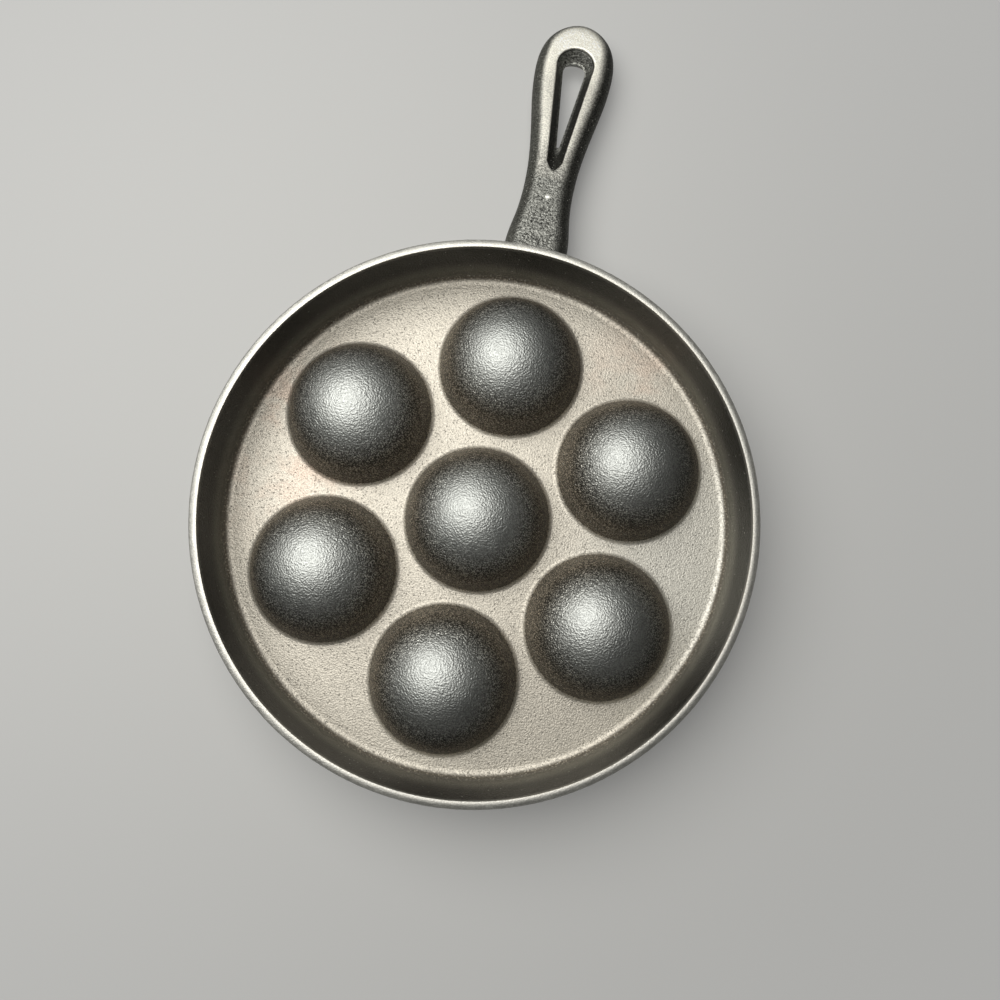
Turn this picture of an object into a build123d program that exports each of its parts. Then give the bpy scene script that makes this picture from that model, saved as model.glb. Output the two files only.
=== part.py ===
from build123d import *
import math
import os

# A round pan with seven ball-shaped wells and a looped handle, cast in iron.
# It lies upside down, as it is put down to dry: the cooking side faces down
# on its lip, and the round backs of the wells stand up inside the skirt.
# +Z is up, out of the underside. +Y runs out along the handle. The origin is
# on the pan's round axis, in the plane that the lip rests on.
# One casting is given as its cast sections, which meet face to face.
# All lengths are in millimetres.

# Whole pan
rim_diameter = 230.0
lip_height = 8.0            # from the lip's edge up to the cooking surface
plate_thickness = 4.0

# Skirt wall round the underside, and the ground ring that stands on a hob
skirt_draft = 1.6           # degrees, the inner face opens towards the rim
floor_fillet = 4.0
ground_width = 2.0          # flat ground land on the ring
ring_round = 1.4            # rough rounded edge outside the land
ring_height = 2.4

# Lip round the cooking side
lip_wall = 4.4              # thickness at the lip's edge
lip_draft = 3.0             # degrees
lip_inner_round = 0.9
lip_outer_round = 1.5
tray_fillet = 3.0
plate_margin = 0.6          # flat plate kept on each section past its fillets

# Wells: their balls fill the rim's width, less these clear spaces
outer_well_count = 6
well_web = 6.8              # between two balls
well_to_rim = 13.1          # from an outer ball to the rim's outside
ball_clearance = 2.3        # from the top of a ball up to the ground ring's plane
well_wall = 3.2
well_foot_fillet = 2.5      # outside, where the ball meets the plate
well_mouth_round = 2.0      # inside, at the cooking surface

# Handle: places along it are shares of its length, from the rim to the tip
handle_length = 125.5
handle_root_height = 15.5   # mid plane at the skirt's outer face
handle_tip_height = 8.6     # mid plane at the tip
handle_thickness = 12.4
handle_edge_round = 5.0
waist_share = 0.3347        # narrowest place, where the loop begins
waist_width = 23.0
shoulder_share = 0.7849     # widest place
shoulder_width = 36.4
side_point_shares = (0.52, 0.58)     # out from waist to shoulder width, and along
tip_corner_share = 0.74              # of shoulder half width and of the tip's length

# Neck, flared and thickened towards the skirt
throat_share = 0.2072
throat_width = 24.9
throat_thickness = 13.2
flare_share = 0.0996
flare_width = 28.6
flare_thickness = 15.0
root_sink = 6.0             # the neck's form starts this far inside the skirt
root_width = 43.0
root_thickness = 20.0
root_corner_round = 7.0

# Teardrop slot through the handle: each mouth is wider than its throat at mid thickness
slot_narrow_share = 0.3944
slot_narrow_radius = 3.0
slot_wide_share = 0.8096
slot_wide_radius = 8.5
slot_draft = 3.3            # fall of each wall from the mouth to mid thickness
throat_narrow_share = 0.502
throat_narrow_radius = 0.7
slot_edge_round = 0.9

overrun = 2.0               # cutting tools pass their faces by this much

# Sizes worked out from the ones above
rim_radius = rim_diameter / 2
ball_radius = (rim_radius - well_to_rim - well_web) / 3     # three ball radii from axis to outermost ball
well_radius = ball_radius - well_wall
well_pitch = 2 * ball_radius + well_web
overall_height = lip_height + ball_radius + ball_clearance
plate_top = lip_height + plate_thickness
split_height = lip_height + plate_thickness / 2
ring_bottom = overall_height - ring_height
rim_inner_radius = rim_radius - ring_round - ground_width
skirt_slope = math.tan(math.radians(skirt_draft))
lip_slope = math.tan(math.radians(lip_draft))
lip_inner_radius = rim_radius - lip_wall
tray_radius = lip_inner_radius - lip_height * lip_slope
plate_radius = tray_radius - tray_fillet - plate_margin
foot_centre_radius = ball_radius + well_foot_fillet
foot_reach = math.sqrt(foot_centre_radius ** 2 - (plate_thickness + well_foot_fillet) ** 2)
mouth_reach = math.sqrt((well_radius + well_mouth_round) ** 2 - well_mouth_round ** 2)
flange_radius = foot_reach + plate_margin

waist_place = handle_length * waist_share
shoulder_place = handle_length * shoulder_share
slot_narrow_place = handle_length * slot_narrow_share
slot_wide_place = handle_length * slot_wide_share
throat_narrow_place = handle_length * throat_narrow_share
handle_angle = math.degrees(math.atan2(handle_root_height - handle_tip_height, handle_length))
handle_plane = Plane(
    origin=(0, rim_radius, handle_root_height),
    x_dir=(1, 0, 0),
    z_dir=(0, math.sin(math.radians(handle_angle)), math.cos(math.radians(handle_angle))),
)


def skirt_inner_radius(height):
    """Radius of the skirt's drafted inner face at a height above the table."""
    return rim_inner_radius - (overall_height - height) * skirt_slope


def turned(outline):
    """Solid turned about the pan's axis from a closed outline of (radius, height)."""
    return revolve(Plane.XZ * make_face(outline), Axis.Z)


def turned_corners(corners):
    """Solid turned about the pan's axis from corners given as (radius, height, rounding)."""
    points = [(radius, height) for radius, height, rounding in corners]
    roundings = [rounding for radius, height, rounding in corners]
    return turned(FilletPolyline(*points, radius=roundings, close=True))


def outer_well_angles():
    """Directions of the outer wells; one of them lies in line with the handle."""
    step = 360 / outer_well_count
    return [90 + step * number for number in range(outer_well_count)]


def well_places():
    """Centres of all wells, the middle one first."""
    places = [(0, 0)]
    for angle in outer_well_angles():
        turn = math.radians(angle)
        places.append((well_pitch * math.cos(turn), well_pitch * math.sin(turn)))
    return places


def make_well():
    """One ball well on the pan's axis: cup, rounded mouth, foot fillet and flange."""
    foot_angle = math.degrees(math.atan2(plate_thickness + well_foot_fillet, foot_reach))
    mouth_angle = math.degrees(math.atan2(well_mouth_round, mouth_reach))
    centre = (0, lip_height)
    foot_centre = (foot_reach, plate_top + well_foot_fillet)
    mouth_centre = (mouth_reach, lip_height + well_mouth_round)
    cup = CenterArc(centre, well_radius, mouth_angle, 90 - mouth_angle)
    mouth = CenterArc(mouth_centre, well_mouth_round, 180 + mouth_angle, 90 - mouth_angle)
    foot = CenterArc(foot_centre, well_foot_fillet, 180 + foot_angle, 90 - foot_angle)
    ball = CenterArc(centre, ball_radius, foot_angle, 90 - foot_angle)
    flange = Polyline(
        (mouth_reach, lip_height),
        (flange_radius, lip_height),
        (flange_radius, plate_top),
        (foot_reach, plate_top),
    )
    crown = Line((0, lip_height + well_radius), (0, lip_height + ball_radius))
    return turned(cup + mouth + flange + foot + ball + crown)


def make_plate():
    """Flat cooking plate with a round hole for each well's flange."""
    disc = Circle(plate_radius)
    for x, y in well_places():
        disc -= Pos(x, y) * Circle(flange_radius)
    return extrude(Pos(0, 0, lip_height) * disc, amount=plate_thickness)


def make_skirt():
    """Skirt wall from the plate's mid thickness up to the ground ring."""
    return turned_corners([
        (plate_radius, split_height, 0),
        (plate_radius, plate_top, 0),
        (skirt_inner_radius(plate_top), plate_top, floor_fillet),
        (skirt_inner_radius(ring_bottom), ring_bottom, 0),
        (rim_radius, ring_bottom, 0),
        (rim_radius, split_height, 0),
    ])


def make_hob_ring():
    """Top of the skirt: a flat ground land with a rough rounded edge outside it."""
    return turned_corners([
        (skirt_inner_radius(ring_bottom), ring_bottom, 0),
        (rim_inner_radius, overall_height, 0),
        (rim_radius, overall_height, ring_round),
        (rim_radius, ring_bottom, 0),
    ])


def make_lip():
    """Raised lip round the cooking side, standing on the table."""
    return turned_corners([
        (plate_radius, split_height, 0),
        (plate_radius, lip_height, 0),
        (tray_radius, lip_height, tray_fillet),
        (lip_inner_radius, 0, lip_inner_round),
        (rim_radius, 0, lip_outer_round),
        (rim_radius, split_height, 0),
    ])


def neck_section(place, width, thickness, corner):
    """Rounded cross section of the neck, square to the handle, at a distance out from the skirt."""
    spot = handle_plane.from_local_coords(Vector(0, place, 0))
    section_plane = Plane(origin=spot, x_dir=handle_plane.x_dir, z_dir=handle_plane.y_dir)
    return section_plane * RectangleRounded(width, thickness, corner)


def make_neck():
    """Neck that flares into the skirt's outer face."""
    stations = [
        neck_section(-root_sink, root_width, root_thickness, root_corner_round),
        neck_section(handle_length * flare_share, flare_width, flare_thickness, handle_edge_round),
        neck_section(handle_length * throat_share, throat_width, throat_thickness, handle_edge_round),
        neck_section(waist_place, waist_width, handle_thickness, handle_edge_round),
    ]
    pan_space = Pos(0, 0, overall_height / 2) * Cylinder(rim_radius, overall_height + overrun)
    return loft(stations) - pan_space


def loop_outline():
    """Outline of the handle's loop on its mid plane, from the waist round the tip."""
    waist = waist_width / 2
    shoulder = shoulder_width / 2
    out_share, on_share = side_point_shares
    tip_length = handle_length - shoulder_place
    side_half = waist + (shoulder - waist) * out_share
    side_place = waist_place + (shoulder_place - waist_place) * on_share
    right_side = [
        (waist, waist_place),
        (side_half, side_place),
        (shoulder, shoulder_place),
        (shoulder * tip_corner_share, shoulder_place + tip_length * tip_corner_share),
    ]
    left_side = [(-x, y) for x, y in reversed(right_side)]
    tip = [(0, handle_length)]
    curve = Spline(*(right_side + tip + left_side), tangents=[(0, 1), (0, -1)])
    return make_face(curve + Line(left_side[-1], right_side[0]))


def teardrop(narrow_place, narrow_radius, wide_place, wide_radius):
    """Teardrop of two arcs and the straight lines that touch them both."""
    lean = math.asin((wide_radius - narrow_radius) / (wide_place - narrow_place))
    side_x, side_y = math.cos(lean), -math.sin(lean)
    start = (narrow_radius * side_x, narrow_place + narrow_radius * side_y)
    end = (wide_radius * side_x, wide_place + wide_radius * side_y)
    right = Line(start, end)
    left = Line((-end[0], end[1]), (-start[0], start[1]))
    wide = ThreePointArc(end, (0, wide_place + wide_radius), (-end[0], end[1]))
    narrow = ThreePointArc((-start[0], start[1]), (0, narrow_place - narrow_radius), start)
    return make_face(right + wide + left + narrow)


def slot_cutter():
    """Upper half of the slot's space, widening from mid thickness past the handle's face."""
    half = handle_thickness / 2
    rise = (half + overrun) / half
    throat_wide_radius = slot_wide_radius - slot_draft
    narrow_place = throat_narrow_place + (slot_narrow_place - throat_narrow_place) * rise
    narrow_radius = throat_narrow_radius + (slot_narrow_radius - throat_narrow_radius) * rise
    wide_radius = throat_wide_radius + slot_draft * rise
    throat = teardrop(throat_narrow_place, throat_narrow_radius, slot_wide_place, throat_wide_radius)
    mouth = teardrop(narrow_place, narrow_radius, slot_wide_place, wide_radius)
    return loft([throat, Pos(0, 0, half + overrun) * mouth], ruled=True)


def make_loop():
    """Handle's loop with its rounded edges and the teardrop slot through it."""
    half = handle_thickness / 2
    body = extrude(loop_outline(), amount=half, both=True)
    outline_edges = [
        edge
        for edge in body.edges().filter_by(GeomType.BSPLINE)
        if abs(edge.center().Z) > half / 2
    ]
    body = fillet(outline_edges, handle_edge_round)
    upper = slot_cutter()
    body = body - upper - mirror(upper, Plane.XY)
    mouth_edges = [
        edge
        for edge in body.edges()
        if abs(abs(edge.center().Z) - half) < slot_edge_round / 2
        and abs(edge.center().X) < slot_wide_radius
        and edge.center().Y > waist_place + slot_edge_round
        and edge.bounding_box().max.Y < slot_wide_place + slot_wide_radius + slot_edge_round
        and edge.bounding_box().max.X < slot_wide_radius + slot_edge_round
        and edge.bounding_box().min.X > -slot_wide_radius - slot_edge_round
    ]
    body = fillet(mouth_edges, slot_edge_round)
    return handle_plane * body


def cast_sections():
    """Every cast section under its node name."""
    well = make_well()
    named = {
        "griddle_plate": make_plate(),
        "skirt_wall": make_skirt(),
        "hob_ring": make_hob_ring(),
        "cooking_lip": make_lip(),
        "handle_neck": make_neck(),
        "handle_loop": make_loop(),
    }
    for number, (x, y) in enumerate(well_places()):
        name = f"outer_well_{number}" if number else "centre_well"
        named[name] = Pos(x, y, 0) * well
    return named


os.makedirs("parts", exist_ok=True)
for name, solid in cast_sections().items():
    export_step(solid, f"parts/{name}.step")
    print(name, round(solid.volume), "cubic mm")
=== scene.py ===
import math

import bpy
import numpy as np
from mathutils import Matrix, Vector


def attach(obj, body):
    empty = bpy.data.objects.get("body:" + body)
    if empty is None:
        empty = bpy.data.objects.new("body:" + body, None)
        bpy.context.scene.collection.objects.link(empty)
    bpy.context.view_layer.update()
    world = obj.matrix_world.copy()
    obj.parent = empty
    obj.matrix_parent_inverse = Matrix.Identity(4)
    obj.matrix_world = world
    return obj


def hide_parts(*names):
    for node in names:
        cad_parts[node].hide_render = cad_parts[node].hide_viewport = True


# A cast-iron pan with seven ball wells, lying on its cooking side as in the photograph: the round backs of the
# wells stand up inside the skirt, and the looped handle runs out along +Y.
# Shapes are worked out in millimetres in the part's frame and become metres where a mesh is made.

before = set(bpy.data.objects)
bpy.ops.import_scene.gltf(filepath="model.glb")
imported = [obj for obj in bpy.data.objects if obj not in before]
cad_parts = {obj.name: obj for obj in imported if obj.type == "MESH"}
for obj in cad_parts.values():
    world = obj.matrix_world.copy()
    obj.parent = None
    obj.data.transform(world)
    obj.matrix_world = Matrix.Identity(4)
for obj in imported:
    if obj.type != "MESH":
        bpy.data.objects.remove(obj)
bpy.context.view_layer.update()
print("frame loaded:", len(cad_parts), "cast sections")

# Sizes that several pieces share, the same as in the CAD model
pan = {
    "rimRadius": 115.0,
    "height": 42.0,
    "cookingHeight": 8.0,        # the cooking surface above the table
    "plateTop": 12.0,
    "splitHeight": 10.0,         # the skirt begins and the lip ends here, inside the plate's thickness
    "plateRadius": 106.581,
    "ringBottom": 39.6,
    "landInnerRadius": 111.6,
    "landOuterRadius": 113.6,
    "skirtDraft": math.tan(math.radians(1.6)),
}


def latticeNoise(points, cell, seed):
    # smooth random numbers from -1 to 1: random values on a cubic lattice of side cell, and each point
    # blends the 8 round it by the weights t * t * (3 - 2 * t) along each axis
    values = np.random.default_rng(seed).uniform(-1, 1, 8192)
    scaled = points / cell
    corner = np.floor(scaled).astype(np.int64)
    part = scaled - corner
    part = part * part * (3 - 2 * part)
    total = np.zeros(points.shape[:-1])
    for step in np.ndindex(2, 2, 2):
        place = corner + np.array(step)
        index = (place[..., 0] * 73856093 ^ place[..., 1] * 19349663 ^ place[..., 2] * 83492791) % len(values)
        weight = np.prod(np.where(np.array(step) == 1, part, 1 - part), axis=-1)
        total += weight * values[index]
    return total


def softStep(values, low, high):
    # 0 below low, 1 above high, and t * t * (3 - 2 * t) between
    t = np.clip((values - low) / (high - low), 0, 1)
    return t * t * (3 - 2 * t)


def pebbles(points, amplitude):
    # the casting's orange-peel grain: two sizes of lattice noise added
    return amplitude * (0.65 * latticeNoise(points, 1.15, 11) + 0.35 * latticeNoise(points, 2.3, 12))


def roundedLine(corners, spacing):
    # a closed line of (radius, height) through corners (radius, height, rounding): each rounding is an arc that
    # touches both sides, rounding / tan(half the corner's angle) from it, and long runs are cut into steps of
    # spacing
    total = len(corners)
    line = []
    for number, (a, b, rounding) in enumerate(corners):
        spot = np.array([a, b], float)
        if rounding == 0:
            line.append(spot[None])
            continue
        back = np.array(corners[number - 1][:2], float) - spot
        on = np.array(corners[(number + 1) % total][:2], float) - spot
        back, on = back / np.linalg.norm(back), on / np.linalg.norm(on)
        half = math.acos(np.clip(back @ on, -1, 1)) / 2
        centre = spot + (back + on) / np.linalg.norm(back + on) * rounding / math.sin(half)
        start = spot + back * rounding / math.tan(half) - centre
        end = spot + on * rounding / math.tan(half) - centre
        sweep = math.pi - 2 * half
        count = max(5, int(rounding * sweep / spacing) + 2)
        t = np.linspace(0, 1, count)[:, None]
        line.append(centre + (start * np.sin((1 - t) * sweep) + end * np.sin(t * sweep)) / math.sin(sweep))
    points = np.concatenate(line + [line[0][:1]])
    runs = []
    for start, end in zip(points[:-1], points[1:]):
        count = max(1, int(round(np.linalg.norm(end - start) / spacing)))
        runs.append(start + (end - start) * np.linspace(0, 1, count, endpoint=False)[:, None])
    return np.concatenate(runs)


def arcLine(centre, radius, startAngle, endAngle, spacing):
    # points on an arc of (radius, height), angles in degrees
    count = max(4, int(abs(math.radians(endAngle - startAngle)) * radius / spacing) + 1)
    turn = np.radians(np.linspace(startAngle, endAngle, count))
    return np.stack([centre[0] + radius * np.cos(turn), centre[1] + radius * np.sin(turn)], axis=-1)


def turnedGrid(line, columns, centre=(0, 0)):
    # each (radius, height) of the line is carried round an upright axis through centre
    turn = np.linspace(0, 2 * math.pi, columns, endpoint=False)
    reach, height = line[:, :1], line[:, 1:]
    x = centre[0] + reach * np.cos(turn)
    y = centre[1] + reach * np.sin(turn)
    return np.stack([x, y, np.broadcast_to(height, x.shape)], axis=-1)


mergeStep = 0.0005    # millimetres


def makePiece(name, grid, nodes, material, closeRows=False, sharpAngle=42, marks=None):
    # a closed skin over a grid of points (rows, columns, 3): columns always join up, and rows join up where
    # closeRows says so. Points within mergeStep are merged, so a pole or a folded edge leaves no empty face.
    # marks holds named numbers from 0 to 1 for the grid's points, which a material reads.
    rows, columns = grid.shape[:2]
    rowNumbers = np.arange(rows if closeRows else rows - 1)[:, None]
    columnNumbers = np.arange(columns)[None]
    nextRow, nextColumn = (rowNumbers + 1) % rows, (columnNumbers + 1) % columns
    quads = np.stack([
        rowNumbers * columns + columnNumbers,
        rowNumbers * columns + nextColumn,
        nextRow * columns + nextColumn,
        nextRow * columns + columnNumbers,
    ], axis=-1).reshape(-1, 4)
    points = grid.reshape(-1, 3)
    keys = np.round(points / mergeStep).astype(np.int64)
    first, where = np.unique(keys, axis=0, return_index=True, return_inverse=True)[1:]
    quads = where.reshape(-1)[quads]
    points = points[first]
    kept = quads != np.roll(quads, 1, axis=1)
    sides = kept.sum(axis=1)
    fours, threes = quads[sides == 4], quads[sides == 3][kept[sides == 3]].reshape(-1, 3)
    split = np.concatenate([fours[:, :3], fours[:, [0, 2, 3]], threes])
    a, b, c = points[split[:, 0]], points[split[:, 1]], points[split[:, 2]]
    if np.einsum("ij,ij->", a, np.cross(b, c)) < 0:
        fours, threes = fours[:, ::-1], threes[:, ::-1]
    corners = np.concatenate([fours.reshape(-1), threes.reshape(-1)])
    starts = np.concatenate([np.arange(len(fours)) * 4, len(fours) * 4 + np.arange(len(threes)) * 3])
    mesh = bpy.data.meshes.new(name)
    mesh.vertices.add(len(points))
    mesh.vertices.foreach_set("co", (points / 1000).astype(np.float32).ravel())
    mesh.loops.add(len(corners))
    mesh.loops.foreach_set("vertex_index", corners.astype(np.int32))
    mesh.polygons.add(len(starts))
    mesh.polygons.foreach_set("loop_start", starts.astype(np.int32))
    mesh.update(calc_edges=True)
    mesh.validate()
    for key, values in (marks or {}).items():
        pointValues = values.reshape(-1)[first].astype(np.float32)
        mesh.attributes.new(key, "FLOAT", "POINT").data.foreach_set("value", pointValues)
    mesh.shade_smooth()
    mesh.set_sharp_from_angle(angle=math.radians(sharpAngle))
    mesh.materials.append(material)
    piece = bpy.data.objects.new(name, mesh)
    bpy.context.scene.collection.objects.link(piece)
    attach(piece, "root")
    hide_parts(*nodes)
    print(name, len(points), "points,", len(split), "triangles")
    return piece


class Wire:
    # one output socket; sums on wires read as Python and add Math nodes
    def __init__(self, recipe, socket):
        self.recipe = recipe
        self.socket = socket

    def __add__(self, other):
        return self.recipe.maths("ADD", self, other)

    def __radd__(self, other):
        return self.recipe.maths("ADD", other, self)

    def __sub__(self, other):
        return self.recipe.maths("SUBTRACT", self, other)

    def __rsub__(self, other):
        return self.recipe.maths("SUBTRACT", other, self)

    def __mul__(self, other):
        return self.recipe.maths("MULTIPLY", self, other)

    def __pow__(self, other):
        return self.recipe.maths("POWER", self, other)


class Recipe:
    # a node tree, of a new material unless one is given, built one node at a time
    def __init__(self, name, tree=None):
        self.material = None if tree else bpy.data.materials.new(name)
        if self.material:
            self.material.use_nodes = True
        self.tree = tree or self.material.node_tree
        self.tree.nodes.clear()

    def add(self, kind, settings=None, inputs=None, output=0):
        node = self.tree.nodes.new("ShaderNode" + kind)
        for key, value in (settings or {}).items():
            setattr(node, key, value)
        for key, value in (inputs or {}).items():
            if isinstance(value, Wire):
                self.tree.links.new(value.socket, node.inputs[key])
            else:
                node.inputs[key].default_value = value
        return Wire(self, node.outputs[output])

    def maths(self, operation, first, second):
        return self.add("Math", {"operation": operation}, {0: first, 1: second})

    def smooth(self, value, low, high):
        # 0 at low, 1 at high and smooth between; low may be the larger
        return self.add("MapRange", {"interpolation_type": "SMOOTHSTEP"}, {
            "Value": value, "From Min": low, "From Max": high, "To Min": 0.0, "To Max": 1.0})

    def noise(self, place, size, detail=2.0, roughness=0.5):
        # noise about 0.5 whose patches are about size metres across
        return self.add("TexNoise", {"normalize": True}, {
            "Vector": place, "Scale": 1 / size, "Detail": detail, "Roughness": roughness})

    def specks(self, place, spacing, reach, edge):
        # 1 at the points of a jumbled lattice, fading to 0 at reach; both are shares of its spacing in metres
        away = self.add("TexVoronoi", None, {"Vector": place, "Scale": 1 / spacing}, "Distance")
        return self.smooth(away, reach, edge)

    def near(self, place, spot, reach, edge=0.5):
        # 1 at spot, in millimetres, fading to 0 at reach
        spot = [value / 1000 for value in spot]
        away = self.add("VectorMath", {"operation": "DISTANCE"}, {0: place, 1: spot}, "Value")
        return self.smooth(away, reach / 1000, reach * edge / 1000)

    def blend(self, factor, first, second, mode="MIX"):
        return self.add("Mix", {"data_type": "RGBA", "blend_type": mode}, {0: factor, 6: first, 7: second}, 2)

    def toned(self, colour, tone):
        # the colour times the number tone
        return self.blend(1.0, colour, self.add("CombineColor", None, {0: tone, 1: tone, 2: tone}), "MULTIPLY")

    def objectPlace(self):
        # the point in the part's own frame, whole and as x, y and z
        place = self.add("TexCoord", output="Object")
        parts = self.add("SeparateXYZ", None, {0: place}).socket.node
        return [place] + [Wire(self, parts.outputs[number]) for number in range(3)]

    def finish(self, shader, kind="Material"):
        output = self.tree.nodes.new("ShaderNodeOutput" + kind)
        self.tree.links.new(shader.socket, output.inputs["Surface"])
        return self.material

    def finishWith(self, **sockets):
        return self.finish(self.add("BsdfPrincipled", None, sockets))


def shade(red, green, blue):
    return (red, green, blue, 1.0)


ironLook = {
    "crownSheenColour": shade(0.372, 0.382, 0.366),   # the backs of the wells: partly rubbed, partly a painted sheen that fades lower down
    "flankColour": shade(0.112, 0.097, 0.074),   # lower down: brown seasoning, darker than the crowns as painted shade
    "plateColour": shade(0.565, 0.530, 0.462),
    "wallColour": shade(0.062, 0.061, 0.054),
    "paintedBounceColour": shade(0.640, 0.620, 0.560),    # painted reflected light on the plate's right side, greyer and paler
    "rustColour": shade(0.580, 0.400, 0.310),
    "dustColour": shade(0.480, 0.470, 0.430),
    "ballRoughness": 0.49,
    "flankRoughness": 0.60,
    "plateRoughness": 0.60,
    "grainSize": 0.00070,
    "grainDepth": 0.00027,
    "speckleSize": 0.00055,
    "pebbleSize": 0.0016,
    "pebbleDepth": 0.00006,
    "paintedGlintSpacing": 0.0011,
    "dustSpacing": 0.0034,
    "pitSize": 0.0009,
    "cloudSize": 0.030,
    "blotchSize": 0.009,
}

# where each finish of the iron begins and where it is full, in metres
ironPlaces = {
    "crownSheenHeights": (0.0235, 0.0390),
    "coarseHeights": (0.0375, 0.0300),
    "dullHeights": (0.0285, 0.0215),
    "plateTop": (0.0136, 0.0122),
    "plateUnder": (0.0110, 0.0118),
    "plateEdge": (0.1105, 0.1085),       # distances from the pan's axis
    "ballsEdge": (0.1090, 0.1065),
    "wallInner": (0.1078, 0.1095),
    "wallOuter": (0.1142, 0.1132),
    "wallFoot": (0.0128, 0.0165),
    "paintedWallSheen": (0.029, 0.013),          # painted sheen: the wall is paler going down
    "outside": (0.1130, 0.1142),
    "paintedBounceSpot": ((104, 4, 12), 80),      # middle and reach in millimetres
    "rustSpot": ((-92, 20, 12), 62),
    "smallRustSpot": ((70, 75, 12), 52),
}


def castIron(name, look):
    # seasoned iron: satin grey on the balls' crowns, as a painted sheen that fades with height, brown-black on
    # their flanks and on the skirt's wall, and lighter, warmer and duller on the flat plate, with painted
    # reflected light on its right side
    recipe = Recipe(name)
    place, x, y, z = recipe.objectPlace()
    reach = (x * x + y * y) ** 0.5
    spans = ironPlaces
    onPlate = recipe.smooth(z, *spans["plateTop"]) * recipe.smooth(z, *spans["plateUnder"])
    onPlate = onPlate * recipe.smooth(reach, *spans["plateEdge"])
    onWall = recipe.smooth(reach, *spans["wallInner"]) * recipe.smooth(z, *spans["wallFoot"])
    onWall = onWall * recipe.smooth(reach, *spans["wallOuter"])
    amongBalls = recipe.smooth(reach, *spans["ballsEdge"])
    # painted sheen: the balls' crowns take the lighter colour, fading with height as the balls turn from the light
    onCrownSheen = recipe.smooth(z, *spans["crownSheenHeights"]) * amongBalls
    coarse = recipe.smooth(z, *spans["coarseHeights"]) * (1 - onPlate) * amongBalls
    onFlank = (1 - onCrownSheen) * (1 - onPlate) * (1 - onWall)
    outside = recipe.smooth(reach, *spans["outside"])
    dull = recipe.maths("MAXIMUM", recipe.smooth(z, *spans["dullHeights"]), outside)
    dull = dull * (1 - onPlate) * (1 - onWall)
    cloudy = recipe.noise(place, look["cloudSize"], 3.0, 0.55)
    blotches = recipe.noise(place, look["blotchSize"], 3.0, 0.6)
    grain = recipe.noise(place, look["grainSize"], 0.6, 0.5)
    pebble = recipe.noise(place, look["pebbleSize"], 1.0, 0.5)
    rusty = recipe.smooth(cloudy * 0.65 + blotches * 0.35, 0.47, 0.63)
    nearRust = recipe.near(place, *spans["rustSpot"], 0.2) + recipe.near(place, *spans["smallRustSpot"], 0.2) * 0.8
    rusty = rusty * nearRust
    pits = recipe.smooth(recipe.noise(place, look["pitSize"], 1.0, 0.4), 0.62, 0.76) * onPlate
    dust = recipe.specks(place, look["dustSpacing"], 0.09, 0.05) * (1 - onPlate) * (1 - onCrownSheen * 0.9)
    colour = recipe.blend(onCrownSheen, look["flankColour"], look["crownSheenColour"])
    # painted sheen: the wall's colour grows paler towards its foot by the plate
    wallColour = recipe.toned(look["wallColour"], 0.85 + recipe.smooth(z, *spans["paintedWallSheen"]) * 3.2)
    colour = recipe.blend(onWall, colour, wallColour)
    # painted reflected light: the plate's right side is paler where the skirt's lit wall shines down on it
    nearPaintedBounce = recipe.near(place, *spans["paintedBounceSpot"], 0.2)
    plateColour = recipe.blend(nearPaintedBounce, look["plateColour"], look["paintedBounceColour"])
    plateColour = recipe.blend(rusty * 0.34, plateColour, look["rustColour"])
    colour = recipe.blend(onPlate, colour, plateColour)
    spots = recipe.smooth(grain, 0.40, 0.60) - 0.5
    # painted glints: bright specks on the flanks stand for grain catching the light
    paintedGlints = recipe.specks(place, look["paintedGlintSpacing"], 0.46, 0.12)
    speckle = recipe.smooth(recipe.noise(place, look["speckleSize"], 1.0, 0.5), 0.50, 0.62)
    tone = 0.82 + cloudy * 0.22 + blotches * 0.14 + spots * 0.24
    tone = tone + (speckle * 1.9 - 0.52) * coarse + paintedGlints * onFlank * (1.6 - outside * 1.2)
    colour = recipe.toned(colour, tone * (1 - pits * 0.25))
    colour = recipe.blend(dust, colour, look["dustColour"])
    roughness = look["ballRoughness"] + onPlate * (look["plateRoughness"] - look["ballRoughness"])
    roughness = roughness + onFlank * (look["flankRoughness"] - look["ballRoughness"])
    roughness = roughness + (blotches - 0.5) * 0.10
    height = grain * (1 - onPlate * 0.35 + coarse * 0.5) - pits * 0.4
    fine = recipe.add("Bump", None, {"Strength": 1.0, "Distance": look["grainDepth"], "Height": height})
    normal = recipe.add("Bump", None, {
        "Strength": 1.0, "Distance": look["pebbleDepth"], "Height": pebble, "Normal": fine})
    return recipe.finishWith(**{
        "Base Color": colour, "Metallic": (1 - dust) * (1 - dull * 0.7), "Roughness": roughness,
        "Normal": normal, "Specular IOR Level": 0.25})


groundLook = {
    "innerColour": shade(0.67, 0.655, 0.605),
    "outerColour": shade(0.49, 0.485, 0.450),
    "edgeColour": shade(0.14, 0.135, 0.12),
    "outerReach": (0.1121, 0.1131),      # distance from the axis over which the outer colour comes in
    "groundHeights": (0.0410, 0.0417),
    "patchSize": 0.0045,
    "gritSize": 0.0007,
    "gritDepth": 0.00012,
    "roughness": 0.57,
}


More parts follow.
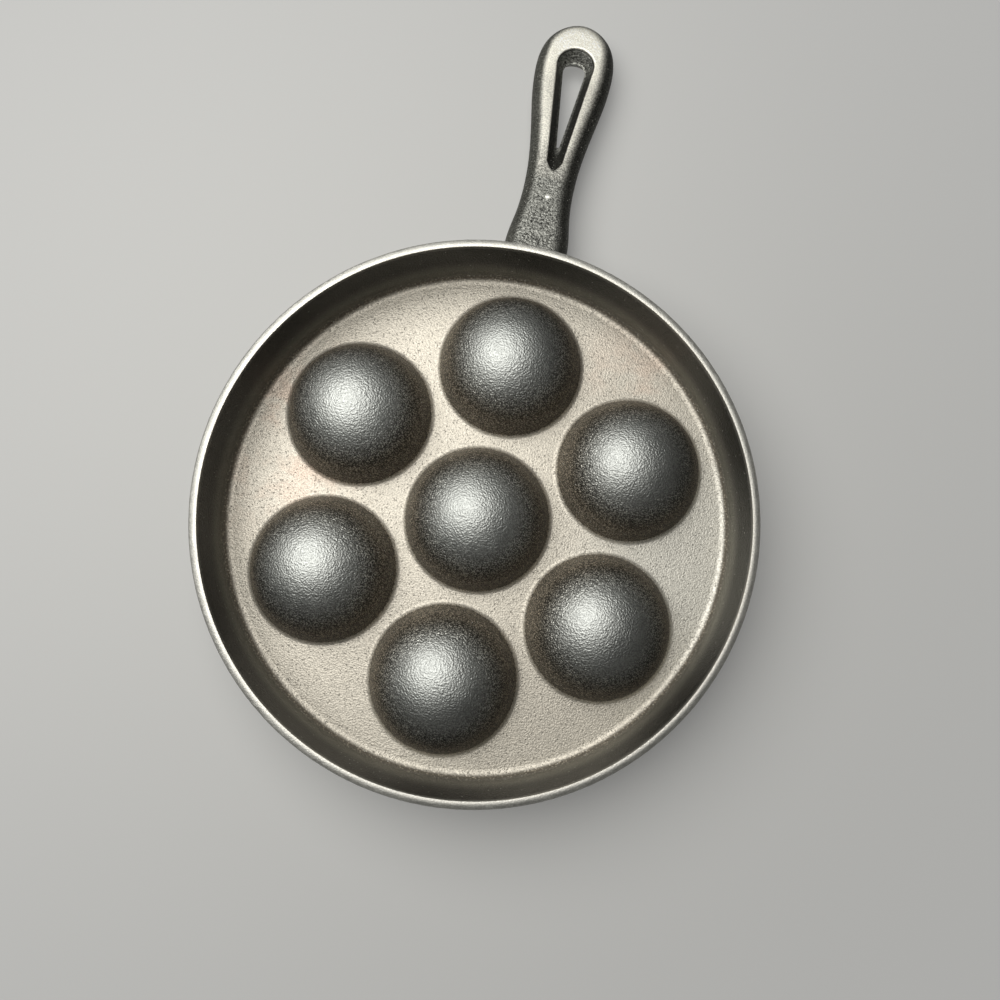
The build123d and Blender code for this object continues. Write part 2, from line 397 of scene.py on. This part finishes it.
def groundIron(name, look):
    # the ring's land, ground bright, with greyer patches towards its rough dark outer edge
    recipe = Recipe(name)
    place, x, y, z = recipe.objectPlace()
    reach = (x * x + y * y) ** 0.5
    patches = recipe.noise(place, look["patchSize"], 3.0, 0.6)
    grit = recipe.noise(place, look["gritSize"], 2.0, 0.5)
    ground = recipe.smooth(z, *look["groundHeights"])
    grey = recipe.smooth(reach + (patches - 0.5) * 0.0010, *look["outerReach"])
    land = recipe.blend(grey, look["innerColour"], look["outerColour"])
    colour = recipe.blend(ground, look["edgeColour"], land)
    colour = recipe.toned(colour, 0.55 + patches * 0.20 + grit * 0.70)
    roughness = look["roughness"] + (patches - 0.5) * 0.2
    normal = recipe.add("Bump", None, {"Strength": 1.0, "Distance": look["gritDepth"], "Height": grit})
    return recipe.finishWith(**{
        "Base Color": colour, "Metallic": 0.4 + ground * 0.6, "Roughness": roughness, "Normal": normal})


handleLook = {
    "faceColour": shade(0.780, 0.764, 0.695),    # the loop's top: rubbed bright by hands, and lighter still as a painted highlight
    "castColour": shade(0.270, 0.272, 0.250),    # the neck's rough top, lighter than the sides partly as a painted highlight
    "sideColour": shade(0.060, 0.060, 0.053),
    "dustColour": shade(0.480, 0.470, 0.430),
    "dustSpacing": 0.0016,
    "faceRoughness": 0.66,
    "castRoughness": 0.60,
    "grainSize": 0.00060,
    "grainDepth": 0.00014,
    "pebbleSize": 0.0014,
    "pebbleDepth": 0.00050,
    "nick": (0.4, 148.5, 20.0),    # a small bright knock on the neck, in millimetres
    "paintedSheenSpan": (0.198, 0.226),     # how far along the rubbed face a painted sheen grows brighter towards the tip
    "coarseSpan": (0.152, 0.122),  # and the neck coarser
    "paintedLitSide": (-0.004, -0.013),   # across the handle, where painted light makes the side towards the lamp lighter
}


def wearAndSheenIron(name, look):
    # the mesh's values wearAndSheen (1 on the loop's top, rubbed and lightened as a painted highlight) and rough
    # (1 on the neck's coarse skin, also lighter as a painted highlight) choose the finish
    recipe = Recipe(name)
    place, x, y, z = recipe.objectPlace()
    wearAndSheen = recipe.add("Attribute", {"attribute_name": "wearAndSheen"}, output="Fac")
    rough = recipe.add("Attribute", {"attribute_name": "rough"}, output="Fac")
    blotches = recipe.noise(place, 0.008, 3.0, 0.6)
    grain = recipe.noise(place, look["grainSize"], 0.6, 0.5)
    pebble = recipe.noise(place, look["pebbleSize"], 1.0, 0.5)
    # painted light: the handle's side towards the lamp is lighter
    sideColour = recipe.toned(look["sideColour"], 1 + recipe.smooth(x, *look["paintedLitSide"]) * 0.9)
    colour = recipe.blend(rough, sideColour, look["castColour"])
    colour = recipe.blend(wearAndSheen, colour, look["faceColour"])
    spots = recipe.smooth(grain, 0.36, 0.64) - 0.5
    coarse = rough * (0.7 + recipe.smooth(y, *look["coarseSpan"]) * 0.7)
    tone = 0.85 + blotches * 0.30 + spots * (0.8 - wearAndSheen * 0.55 + rough * 0.2)
    tone = tone + coarse * (pebble - 0.5) * 2.0
    nick = recipe.near(place, look["nick"], 1.5, 0.3) * rough
    # painted sheen: the rubbed face grows brighter towards the tip
    paintedTipSheen = (recipe.smooth(y, *look["paintedSheenSpan"]) * 0.32 - 0.05) * wearAndSheen
    colour = recipe.toned(colour, tone + paintedTipSheen + nick * 3.0)
    dust = recipe.specks(place, look["dustSpacing"], 0.16, 0.08) * (1 - wearAndSheen) * (1 - rough) * 0.8
    colour = recipe.blend(dust, colour, look["dustColour"])
    roughness = look["castRoughness"] + wearAndSheen * (look["faceRoughness"] - look["castRoughness"])
    fine = recipe.add("Bump", None, {"Strength": 1.0, "Distance": look["grainDepth"], "Height": grain})
    height = pebble * (0.2 + coarse * 0.75)
    normal = recipe.add("Bump", None, {
        "Strength": 1.0, "Distance": look["pebbleDepth"], "Height": height, "Normal": fine})
    return recipe.finishWith(**{
        "Base Color": colour, "Metallic": 1 - dust, "Roughness": roughness, "Normal": normal})


iron = castIron("seasonedIron", ironLook)
plateIron = castIron("plateIron", ironLook)
handleIron = wearAndSheenIron("handleIron", handleLook)
ringIron = groundIron("groundIron", groundLook)
print("materials made")


well = {
    "ballRadius": 31.7,
    "cupRadius": 28.5,
    "pitch": 70.2,
    "footFillet": 2.5,
    "mouthRound": 2.0,
    "plateMargin": 0.6,
    "columns": 480,
    "spacing": 0.38,
    "cupSpacing": 1.4,
    "grain": 0.006,
    "waviness": 0.06,
}


def wellLine():
    # cup from its pole to the rounded mouth, flange, foot fillet and ball back to the outer pole; the fillets'
    # centres lie at ball or cup radius plus the fillet from the ball's centre
    low, top = pan["cookingHeight"], pan["plateTop"]
    thickness = top - low
    footReach = math.sqrt((well["ballRadius"] + well["footFillet"]) ** 2 - (thickness + well["footFillet"]) ** 2)
    mouthReach = math.sqrt((well["cupRadius"] + well["mouthRound"]) ** 2 - well["mouthRound"] ** 2)
    footAngle = math.degrees(math.atan2(thickness + well["footFillet"], footReach))
    mouthAngle = math.degrees(math.atan2(well["mouthRound"], mouthReach))
    flange = footReach + well["plateMargin"]
    parts = [
        arcLine((0, low), well["cupRadius"], 90, mouthAngle, well["cupSpacing"]),
        arcLine((mouthReach, low + well["mouthRound"]), well["mouthRound"], 180 + mouthAngle, 270, 0.4)[1:],
        np.array([[flange, low], [flange, top]]),
        arcLine((footReach, top + well["footFillet"]), well["footFillet"], 270, 180 + footAngle, 0.3),
        arcLine((0, low), well["ballRadius"], footAngle, 90, well["spacing"])[1:],
    ]
    line = np.concatenate(parts)
    line[[0, -1], 0] = 0
    return line


def makeWells():
    line = wellLine()
    angles = [None] + [90 + 60 * number for number in range(6)]
    for number, angle in enumerate(angles):
        turn = math.radians(angle or 0)
        reach = well["pitch"] if number else 0
        centre = (reach * math.cos(turn), reach * math.sin(turn))
        grid = turnedGrid(line, well["columns"], centre)
        middle = np.array([centre[0], centre[1], pan["cookingHeight"]])
        away = grid - middle
        distance = np.linalg.norm(away, axis=-1, keepdims=True)
        free = softStep(grid[..., 2], pan["plateTop"] + 0.2, pan["plateTop"] + 4)
        lift = pebbles(grid, well["grain"]) + well["waviness"] * latticeNoise(grid, 14.0, 13)
        grid = grid + away / distance * (free * lift)[..., None]
        name = f"outer_well_{number}" if number else "centre_well"
        makePiece(name + "_casting", grid, [name], iron)


makeWells()


rim = {
    "floorFillet": 4.0,
    "skirtColumns": 960,
    "skirtSpacing": 0.75,
    "ringColumns": 1800,
    "ringSpacing": 0.16,
    "crestRadius": 112.6,       # the land is slightly crowned, highest here
    "crownRound": 4.5,
    "crownFrom": -12.9,         # degrees of slope where the crown begins and ends
    "crownTo": 20.0,
    "edgeGrit": 0.05,
    "lipWall": 4.4,
    "lipDraft": math.tan(math.radians(3.0)),
    "trayFillet": 3.0,
    "lipInnerRound": 0.9,
    "lipOuterRound": 1.5,
    "lipColumns": 900,
    "grain": 0.02,
}


def skirtInner(height):
    # the inner face opens towards the ring by its draft
    return pan["landInnerRadius"] - (pan["height"] - height) * pan["skirtDraft"]


def sandSkin(grid, amplitude, fade):
    # the skin moves into the iron only, towards the pan's axis outside and away from it inside, by
    # amplitude * (1 - noise) / 2
    flat = np.linalg.norm(grid[..., :2], axis=-1, keepdims=True)
    outward = np.where(flat > pan["landOuterRadius"], -1.0, 1.0)
    depth = amplitude * (1 - latticeNoise(grid, 1.3, 21))[..., None] / 2
    moved = grid.copy()
    moved[..., :2] = grid[..., :2] * (1 + outward * depth * fade[..., None] / flat)
    return moved


def makeSkirt():
    low, top = pan["splitHeight"], pan["ringBottom"]
    line = roundedLine([
        (pan["plateRadius"], low, 0),
        (pan["plateRadius"], pan["plateTop"], 0),
        (skirtInner(pan["plateTop"]), pan["plateTop"], rim["floorFillet"]),
        (skirtInner(top), top, 0),
        (pan["rimRadius"], top, 0),
        (pan["rimRadius"], low, 0),
    ], rim["skirtSpacing"])
    grid = turnedGrid(line, rim["skirtColumns"])
    height = grid[..., 2]
    flat = np.linalg.norm(grid[..., :2], axis=-1)
    inside = (flat < pan["landOuterRadius"]) & (flat > pan["plateRadius"] + 1)
    insideFade = softStep(height, 12.1, 14) * softStep(-height, -39.5, -38)
    fade = np.where(inside, insideFade, flat > pan["rimRadius"] - 0.01)
    makePiece("skirt_casting", sandSkin(grid, rim["grain"], fade), ["skirt_wall"], iron,
              closeRows=True)


def makeRing():
    low, top = pan["ringBottom"], pan["height"]
    crown = arcLine((rim["crestRadius"], top - rim["crownRound"]), rim["crownRound"],
                    90 - rim["crownFrom"], 90 - rim["crownTo"], rim["ringSpacing"])
    end = math.radians(rim["crownTo"])
    edgeRound = (pan["rimRadius"] - crown[-1, 0]) / (1 - math.sin(end))
    edge = arcLine((pan["rimRadius"] - edgeRound, crown[-1, 1] - edgeRound * math.cos(end)), edgeRound,
                   90 - rim["crownTo"], 0, rim["ringSpacing"])
    inner = [(skirtInner(low), low), (skirtInner(top - 0.9), top - 0.9), (skirtInner(top - 0.25), top - 0.25)]
    line = np.concatenate([inner, crown, edge[1:], [(pan["rimRadius"], low)]])
    grid = turnedGrid(line, rim["ringColumns"])
    flat = np.linalg.norm(grid[..., :2], axis=-1, keepdims=True)
    rough = softStep(flat[..., 0], 112.9, 114.0) * softStep(grid[..., 2], low, low + 0.8)
    bumps = 0.6 * latticeNoise(grid, 1.1, 31) + 0.4 * latticeNoise(grid, 2.6, 32)
    sunk = rim["edgeGrit"] * rough * (1 - bumps)
    grid[..., :2] *= 1 - sunk[..., None] / flat
    rise = rough * (bumps - 0.1) * rim["edgeGrit"]
    grid[..., 2] = np.where(rough > 0, np.minimum(grid[..., 2] + rise, top), grid[..., 2])
    makePiece("hob_ring_casting", grid, ["hob_ring"], ringIron, closeRows=True)


def makeLip():
    low, lipTop = pan["cookingHeight"], pan["splitHeight"]
    lipInner = pan["rimRadius"] - rim["lipWall"]
    line = roundedLine([
        (pan["plateRadius"], lipTop, 0),
        (pan["plateRadius"], low, 0),
        (lipInner - low * rim["lipDraft"], low, rim["trayFillet"]),
        (lipInner, 0, rim["lipInnerRound"]),
        (pan["rimRadius"], 0, rim["lipOuterRound"]),
        (pan["rimRadius"], lipTop, 0),
    ], rim["skirtSpacing"])
    grid = turnedGrid(line, rim["lipColumns"])
    fade = (np.linalg.norm(grid[..., :2], axis=-1) > pan["rimRadius"] - 0.01) * 1.0
    makePiece("cooking_lip_casting", sandSkin(grid, rim["grain"], fade), ["cooking_lip"], iron,
              closeRows=True)


makeSkirt()
makeRing()
makeLip()


handle = {
    "length": 125.5,
    "rootHeight": 15.5,
    "tipHeight": 8.6,
    "halfThickness": 6.2,
    "slotEdgeHeight": 6.12,      # above the mid plane, just lower than the crown
    "crownReach": 1.6,           # from the slot's edge to the crown
    "edgeRound": 7.4,            # width of the outer rounding
    "edgePower": 2.25,
    "lean": -0.03,               # sideways shift of the upper half for each millimetre up
    "waist": (42.0, 11.5),       # distance out from the skirt, half width
    "side": (74.76, 15.08),
    "shoulder": (98.5, 18.2),
    "corner": (118.48, 13.47),
    "slotNarrow": (51.6, 3.35),  # place and radius at the slot's mouth
    "slotWide": (101.6, 8.5),
    "slotPoint": (0.62, 1.45),   # how pointed its narrow end is, from 0 to 1, and how far it is drawn out
    "throatNarrow": (63.0, 0.7), # and at mid thickness
    "throatWide": (101.6, 5.2),
    "slotEdgeRound": 0.9,
    "ledge": 0.26,               # share of the slot wall's slope that the parting ledge takes up
    "wearAndSheenLeft": (2.8, 5.4),      # distance in from the outer edge over which the bright face begins; sooner on the left, towards the lamp, as painted light
    "wearAndSheenRight": (3.2, 8.2),
    "wearAndSheenTip": (1.2, 5.0),
    "wearAndSheenAlong": (32.0, 66.0),   # distance out from the skirt over which it begins
    "around": (150, 130, 60, 130),                # points round the tip, the left side, the waist and the right
    "neckStations": (-6.0, 12.5, 26.0, 42.0),     # distances out from the skirt
    "neckHalfWidths": (21.5, 14.3, 12.45, 11.5),
    "neckHalfHeights": (10.0, 7.5, 6.6, 6.2),
    "neckSlopes": (-1.3, -0.2),                   # of the width and the height where the neck leaves the skirt
}


def smoothSpline(knots, values, slopes, places):
    # clamped cubic spline: second derivatives m solve h0*m0 + 2*(h0+h1)*m1 + h1*m2 = 6*(slope change), and
    # between two knots the value is a*v0 + b*v1 + ((a^3 - a)*m0 + (b^3 - b)*m1)*h^2/6
    knots, values = np.asarray(knots, float), np.asarray(values, float)
    h = np.diff(knots)
    rise = np.diff(values) / h
    count = len(knots)
    matrix, right = np.zeros((count, count)), np.zeros(count)
    matrix[0, :2], right[0] = (2 * h[0], h[0]), 6 * (rise[0] - slopes[0])
    matrix[-1, -2:], right[-1] = (h[-1], 2 * h[-1]), 6 * (slopes[1] - rise[-1])
    inner = np.arange(1, count - 1)
    matrix[inner, inner - 1], matrix[inner, inner], matrix[inner, inner + 1] = h[:-1], 2 * (h[:-1] + h[1:]), h[1:]
    right[inner] = 6 * np.diff(rise)
    bend = np.linalg.solve(matrix, right)
    span = np.clip(np.searchsorted(knots, places) - 1, 0, count - 2)
    b = (places - knots[span]) / h[span]
    a = 1 - b
    curve = ((a ** 3 - a) * bend[span] + (b ** 3 - b) * bend[span + 1]) * h[span] ** 2 / 6
    return a * values[span] + b * values[span + 1] + curve


def handlePoint(x, along, up):
    # from the handle's own sloping frame (across, along, up) to the part's frame
    slope = math.atan2(handle["rootHeight"] - handle["tipHeight"], handle["length"])
    y = pan["rimRadius"] + along * math.cos(slope) + up * math.sin(slope)
    z = handle["rootHeight"] - along * math.sin(slope) + up * math.cos(slope)
    return np.stack([x, y, z], axis=-1)


def evenly(path, count):
    # count points at equal steps along a polyline, both ends included
    length = np.concatenate([[0], np.cumsum(np.linalg.norm(np.diff(path, axis=0), axis=1))])
    at = np.linspace(0, length[-1], count)
    return np.stack([np.interp(at, length, path[:, 0]), np.interp(at, length, path[:, 1])], axis=-1)


def sideOutline():
    # outer outline from the right waist round the tip to the left waist, a spline over its own chord length
    half = [handle[key][::-1] for key in ("waist", "side", "shoulder", "corner")]
    points = np.array(half + [(0, handle["length"] - 0.05)] + [(-x, y) for x, y in half[::-1]])
    knots = np.concatenate([[0], np.cumsum(np.linalg.norm(np.diff(points, axis=0), axis=1))])
    at = np.linspace(0, knots[-1], 1201)
    x = smoothSpline(knots, points[:, 0], (0, 0), at)
    y = smoothSpline(knots, points[:, 1], (1, -1), at)
    return np.stack([x, y], axis=-1)


def teardrop(narrow, wide, counts, point=(0.0, 1.0)):
    # wide arc, left side, narrow arc and right side of the shape round two circles, as (across, along). A pointed
    # narrow end blends the arc's width, cos t, with a straight taper, 1 - sin t, and is stretched lengthways
    lean = math.asin((wide[1] - narrow[1]) / (wide[0] - narrow[0]))
    wideTurn = np.linspace(-lean, math.pi + lean, counts[0], endpoint=False)
    wideArc = np.stack([wide[1] * np.cos(wideTurn), wide[0] + wide[1] * np.sin(wideTurn)], axis=-1)
    narrowTurn = np.linspace(math.pi + lean, 2 * math.pi - lean, counts[2], endpoint=False)
    depth = -np.sin(narrowTurn)
    taper = (1 - depth) / (1 - math.sin(lean)) * math.cos(lean) * np.sign(np.cos(narrowTurn))
    width = np.cos(narrowTurn) * (1 - point[0]) + taper * point[0]
    reach = depth + (depth - math.sin(lean)) * (point[1] - 1)
    narrowArc = np.stack([narrow[1] * width, narrow[0] - narrow[1] * reach], axis=-1)
    wideEnd = np.array([-wide[1] * math.cos(lean), wide[0] - wide[1] * math.sin(lean)])
    narrowEnd = np.array([-narrow[1] * math.cos(lean), narrow[0] - narrow[1] * math.sin(lean)])
    t = np.linspace(0, 1, counts[1], endpoint=False)[:, None]
    left = wideEnd + (narrowEnd - wideEnd) * t
    right = (narrowEnd + (wideEnd - narrowEnd) * t) * np.array([-1, 1])
    return np.concatenate([wideArc, left, narrowArc, right])


def outerPath(counts):
    # the outer outline in the same four parts as the slot: round the tip, down the left, the waist, up the right
    outline = sideOutline()
    shoulder = np.argmin(np.abs(outline[:600, 1] - handle["shoulder"][0]))
    tip = evenly(outline[shoulder:-shoulder or None], counts[0] + 1)[:-1]
    left = evenly(outline[-shoulder - 1:], counts[1] + 1)[:-1]
    waist = evenly(np.array([outline[-1], outline[0]]), counts[2] + 1)[:-1]
    right = evenly(outline[:shoulder + 1], counts[3] + 1)[:-1]
    return np.concatenate([tip, left, waist, right])


def edgeHeight(distance, halfThickness):
    # height of the rounded section at a distance in from its outer edge, a superellipse quarter
    t = 1 - np.clip(distance / handle["edgeRound"], 0, 1)
    return halfThickness * (1 - t ** handle["edgePower"]) ** (1 / handle["edgePower"])


def distanceTo(points, path):
    # shortest distance from each point to a polyline's points
    flat = points.reshape(-1, 2)
    gap = np.stack([np.hypot(*(flat - part[None, 0]).T) for part in path[:, None]], axis=0).min(axis=0)
    return gap.reshape(points.shape[:-1])


def faceWithPaintedLight(points, fromEdge):
    # 1 on the top's bright face, partly rubbed and partly painted light: it begins near the outer edge on the
    # left, the side towards the lamp, and at the tip, and later on the right, which is left darker as painted
    # shade
    left, right, tip = (np.array(handle[key])[:, None, None] for key in ("wearAndSheenLeft", "wearAndSheenRight", "wearAndSheenTip"))
    low, high = left + (right - left) * softStep(points[..., 0], -7, 7)
    nearTip = softStep(points[..., 1], 104, 122)
    return softStep(fromEdge, low + (tip[0] - low) * nearTip, high + (tip[1] - high) * nearTip)


def makeLoop():
    counts = handle["around"]
    mouth = teardrop(handle["slotNarrow"], handle["slotWide"], counts, handle["slotPoint"])
    throat = teardrop(handle["throatNarrow"], handle["throatWide"], counts)
    outer = outerPath(counts)
    outline = evenly(sideOutline(), 500)
    across = np.concatenate([
        np.linspace(0, 0.12, 8)[:-1],
        np.linspace(0.12, 0.80, 22)[:-1],
        1 - 0.2 * (1 - np.linspace(0, 1, 26)) ** 2,
    ])
    top = mouth[None] + (outer - mouth)[None] * across[:, None, None]
    fromEdge = distanceTo(top, outline)
    fromSlot = np.linalg.norm(top - mouth[None], axis=-1)
    crown = handle["halfThickness"] - handle["slotEdgeHeight"]
    dip = crown * (1 - softStep(fromSlot, 0, handle["crownReach"]))
    overEdge = 1 - np.clip(fromSlot / handle["slotEdgeRound"], 0, 1)
    lipRound = handle["slotEdgeRound"] * (1 - np.sqrt(1 - overEdge ** 2))
    height = edgeHeight(fromEdge, handle["halfThickness"]) - dip - lipRound
    wallTop = handle["slotEdgeHeight"] - handle["slotEdgeRound"]
    rise = np.linspace(0, 1, 10)[:-1]
    ledge = handle["ledge"]
    wallShare = np.concatenate([[0.0, ledge * 0.8], ledge + (1 - ledge) * rise])
    wallHeight = np.concatenate([[0.0, 0.35], 0.65 + (wallTop - 0.65) * rise])
    wall = throat[None] + (mouth - throat)[None] * wallShare[:, None, None]
    wallHeight = np.broadcast_to(wallHeight[:, None], wall.shape[:2])
    upper = np.concatenate([wall, top])
    upperHeight = np.concatenate([wallHeight, height])
    shifted = upper[..., 0] - handle["lean"] * np.maximum(upperHeight, 0)
    upperGrid = handlePoint(shifted, upper[..., 1], upperHeight)
    lowerGrid = handlePoint(upper[..., 0], upper[..., 1], -upperHeight)[::-1][:-1]
    grid = np.concatenate([upperGrid, lowerGrid])
    atWideEnd = softStep(mouth[:, 1], 94, 106)
    # painted highlight: the parting ledge and the wall at the slot's wide end take the lighter rough colour
    paintedLedgeLight = np.maximum((wallShare[:, None] <= ledge) * 0.6, atWideEnd[None] * (wallShare[:, None] < 0.999))
    face = faceWithPaintedLight(top, fromEdge) * softStep(fromSlot, 0, 0.5)
    along = softStep(top[..., 1], *handle["wearAndSheenAlong"])
    wearAndSheen = np.concatenate([paintedLedgeLight * 0, face * along])
    rough = np.concatenate([paintedLedgeLight, face * (1 - along)])
    marks = {key: np.concatenate([half, half[::-1][:-1]]) for key, half in (("wearAndSheen", wearAndSheen), ("rough", rough))}
    makePiece("handle_loop_casting", grid, ["handle_loop"], handleIron, closeRows=True,
              marks=marks)


def makeNeck():
    stations = handle["neckStations"]
    widthSlope, heightSlope = handle["neckSlopes"]
    across = np.sin(np.linspace(-math.pi / 2, math.pi / 2, 61))
    share = np.linspace(0, 1, 90)[:, None]
    root = np.sqrt(pan["rimRadius"] ** 2 - (across * 20) ** 2) - pan["rimRadius"] - 0.5
    along = root[None] * (1 - share) + handle["waist"][0] * share
    width = smoothSpline(stations, handle["neckHalfWidths"], (widthSlope, 0), along.ravel()).reshape(along.shape)
    thick = smoothSpline(stations, handle["neckHalfHeights"], (heightSlope, 0), along.ravel()).reshape(along.shape)
    x = across[None] * width
    height = edgeHeight(width - np.abs(x), thick)
    upper = handlePoint(x - handle["lean"] * height, along, height)
    lower = handlePoint(x, along, -height)[:, ::-1]
    ring = np.concatenate([upper, lower], axis=1)
    start = ring[:1] * 0 + ring[:1].mean(axis=1, keepdims=True)
    end = ring[-1:] * 0 + ring[-1:].mean(axis=1, keepdims=True)
    # the neck's top face: rough skin, lighter than its sides partly as a painted highlight, and sooner on the left
    # as painted light
    rough = faceWithPaintedLight(np.stack([x, along], axis=-1), width - np.abs(x))
    rough = np.concatenate([rough, rough[:, ::-1]], axis=1)
    rough = np.concatenate([rough[:1], rough, rough[-1:]])
    makePiece("handle_neck_casting", np.concatenate([start, ring, end]), ["handle_neck"], handleIron,
              marks={"wearAndSheen": rough * 0, "rough": rough})


makeLoop()
makeNeck()


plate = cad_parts["griddle_plate"]
for place in plate.material_slots:
    place.material = plateIron
print("pieces made")


studio = {
    "floorColour": shade(0.50, 0.50, 0.487),
    "backdropColour": shade(0.56, 0.56, 0.55),
    "floorHalf": 30.0,           # metres from the middle to each side of the floor
    "lampShare": 0.12,           # what each metre outwards leaves of the lamp's share in how the floor is seen
    "lampPlace": (-226.0, 131.0, 561.0),
    "lampSize": 713.0,
    "lampPower": 5.5,
    "lampColour": (1.0, 0.99, 0.96),
    "worldColour": shade(1, 0.98, 0.95),
    "worldStrength": 0.03,
    "bandTop": 0.14,             # sine of the height above the floor where the pale backdrop ends in reflections
    "cameraPlace": (7.82, -24.97, 341.94),
    "cameraTurn": (6.118, -0.025, 12.052),
    "focalLength": 27.036,
}


def seenRays(recipe):
    # 1 for a ray from the camera, and 1 for one that was reflected or went through glass
    rays = recipe.add("LightPath").socket.node
    direct = Wire(recipe, rays.outputs["Is Camera Ray"])
    bounced = Wire(recipe, rays.outputs["Is Glossy Ray"]) + Wire(recipe, rays.outputs["Is Transmission Ray"])
    return direct, bounced


def floorPaper():
    # a plain pale floor that keeps the object's shadow, and stays pale where the lamp no longer reaches
    recipe = Recipe("floorPaper")
    place, x, y, z = recipe.objectPlace()
    share = 1 - recipe.maths("POWER", studio["lampShare"], (x * x + y * y) ** 0.5)
    direct, bounced = seenRays(recipe)
    lit = recipe.add("BsdfDiffuse", None, {"Color": studio["floorColour"]})
    glow = recipe.add("Emission", None, {"Color": studio["backdropColour"], "Strength": 1.0})
    return recipe.finish(recipe.add("MixShader", None, {0: (direct + bounced) * share, 1: lit, 2: glow}))


def studioWorld():
    # dim all round, but pale for the camera, and pale low down for reflections
    world = bpy.data.worlds.new("studio")
    bpy.context.scene.world = world
    world.use_nodes = True
    recipe = Recipe("studio", world.node_tree)
    direct, bounced = seenRays(recipe)
    height = Wire(recipe, recipe.add("SeparateXYZ", None, {0: recipe.add("TexCoord")}).socket.node.outputs[2])
    low = recipe.smooth(height, studio["bandTop"], studio["bandTop"] * 0.3)
    dim = recipe.add("Background", None, {"Color": studio["worldColour"], "Strength": studio["worldStrength"]})
    pale = recipe.add("Background", None, {"Color": studio["backdropColour"], "Strength": 1.0})
    recipe.finish(recipe.add("MixShader", None, {0: direct + bounced * low, 1: dim, 2: pale}), "World")


floorMesh = bpy.data.meshes.new("floor")
half = studio["floorHalf"]
floorCorners = [(-half, -half, 0), (half, -half, 0), (half, half, 0), (-half, half, 0)]
floorMesh.from_pydata(floorCorners, [], [(0, 1, 2, 3)])
floorMesh.materials.append(floorPaper())
floor = bpy.data.objects.new("floor", floorMesh)
bpy.context.scene.collection.objects.link(floor)
studioWorld()

lampData = bpy.data.lights.new("softLamp", "AREA")
lampData.shape = "DISK"
lampData.size = studio["lampSize"] / 1000
lampData.energy = studio["lampPower"]
lampData.color = studio["lampColour"]
lamp = bpy.data.objects.new("softLamp", lampData)
bpy.context.scene.collection.objects.link(lamp)
lamp.location = Vector(studio["lampPlace"]) / 1000
lamp.rotation_euler = (-lamp.location).to_track_quat("-Z", "Y").to_euler()
lamp.visible_camera = False

cameraData = bpy.data.cameras.new("camera")
cameraData.lens = studio["focalLength"]
cameraData.sensor_width = 36
camera = bpy.data.objects.new("camera", cameraData)
bpy.context.scene.collection.objects.link(camera)
camera.rotation_mode = "ZYX"
camera.rotation_euler = [math.radians(value) for value in studio["cameraTurn"]]
camera.location = [value / 1000 for value in studio["cameraPlace"]]
cameraData.clip_start = 0.01
bpy.context.scene.camera = camera

bpy.context.scene.view_settings.view_transform = "Standard"
print("floor, lamp and camera placed")
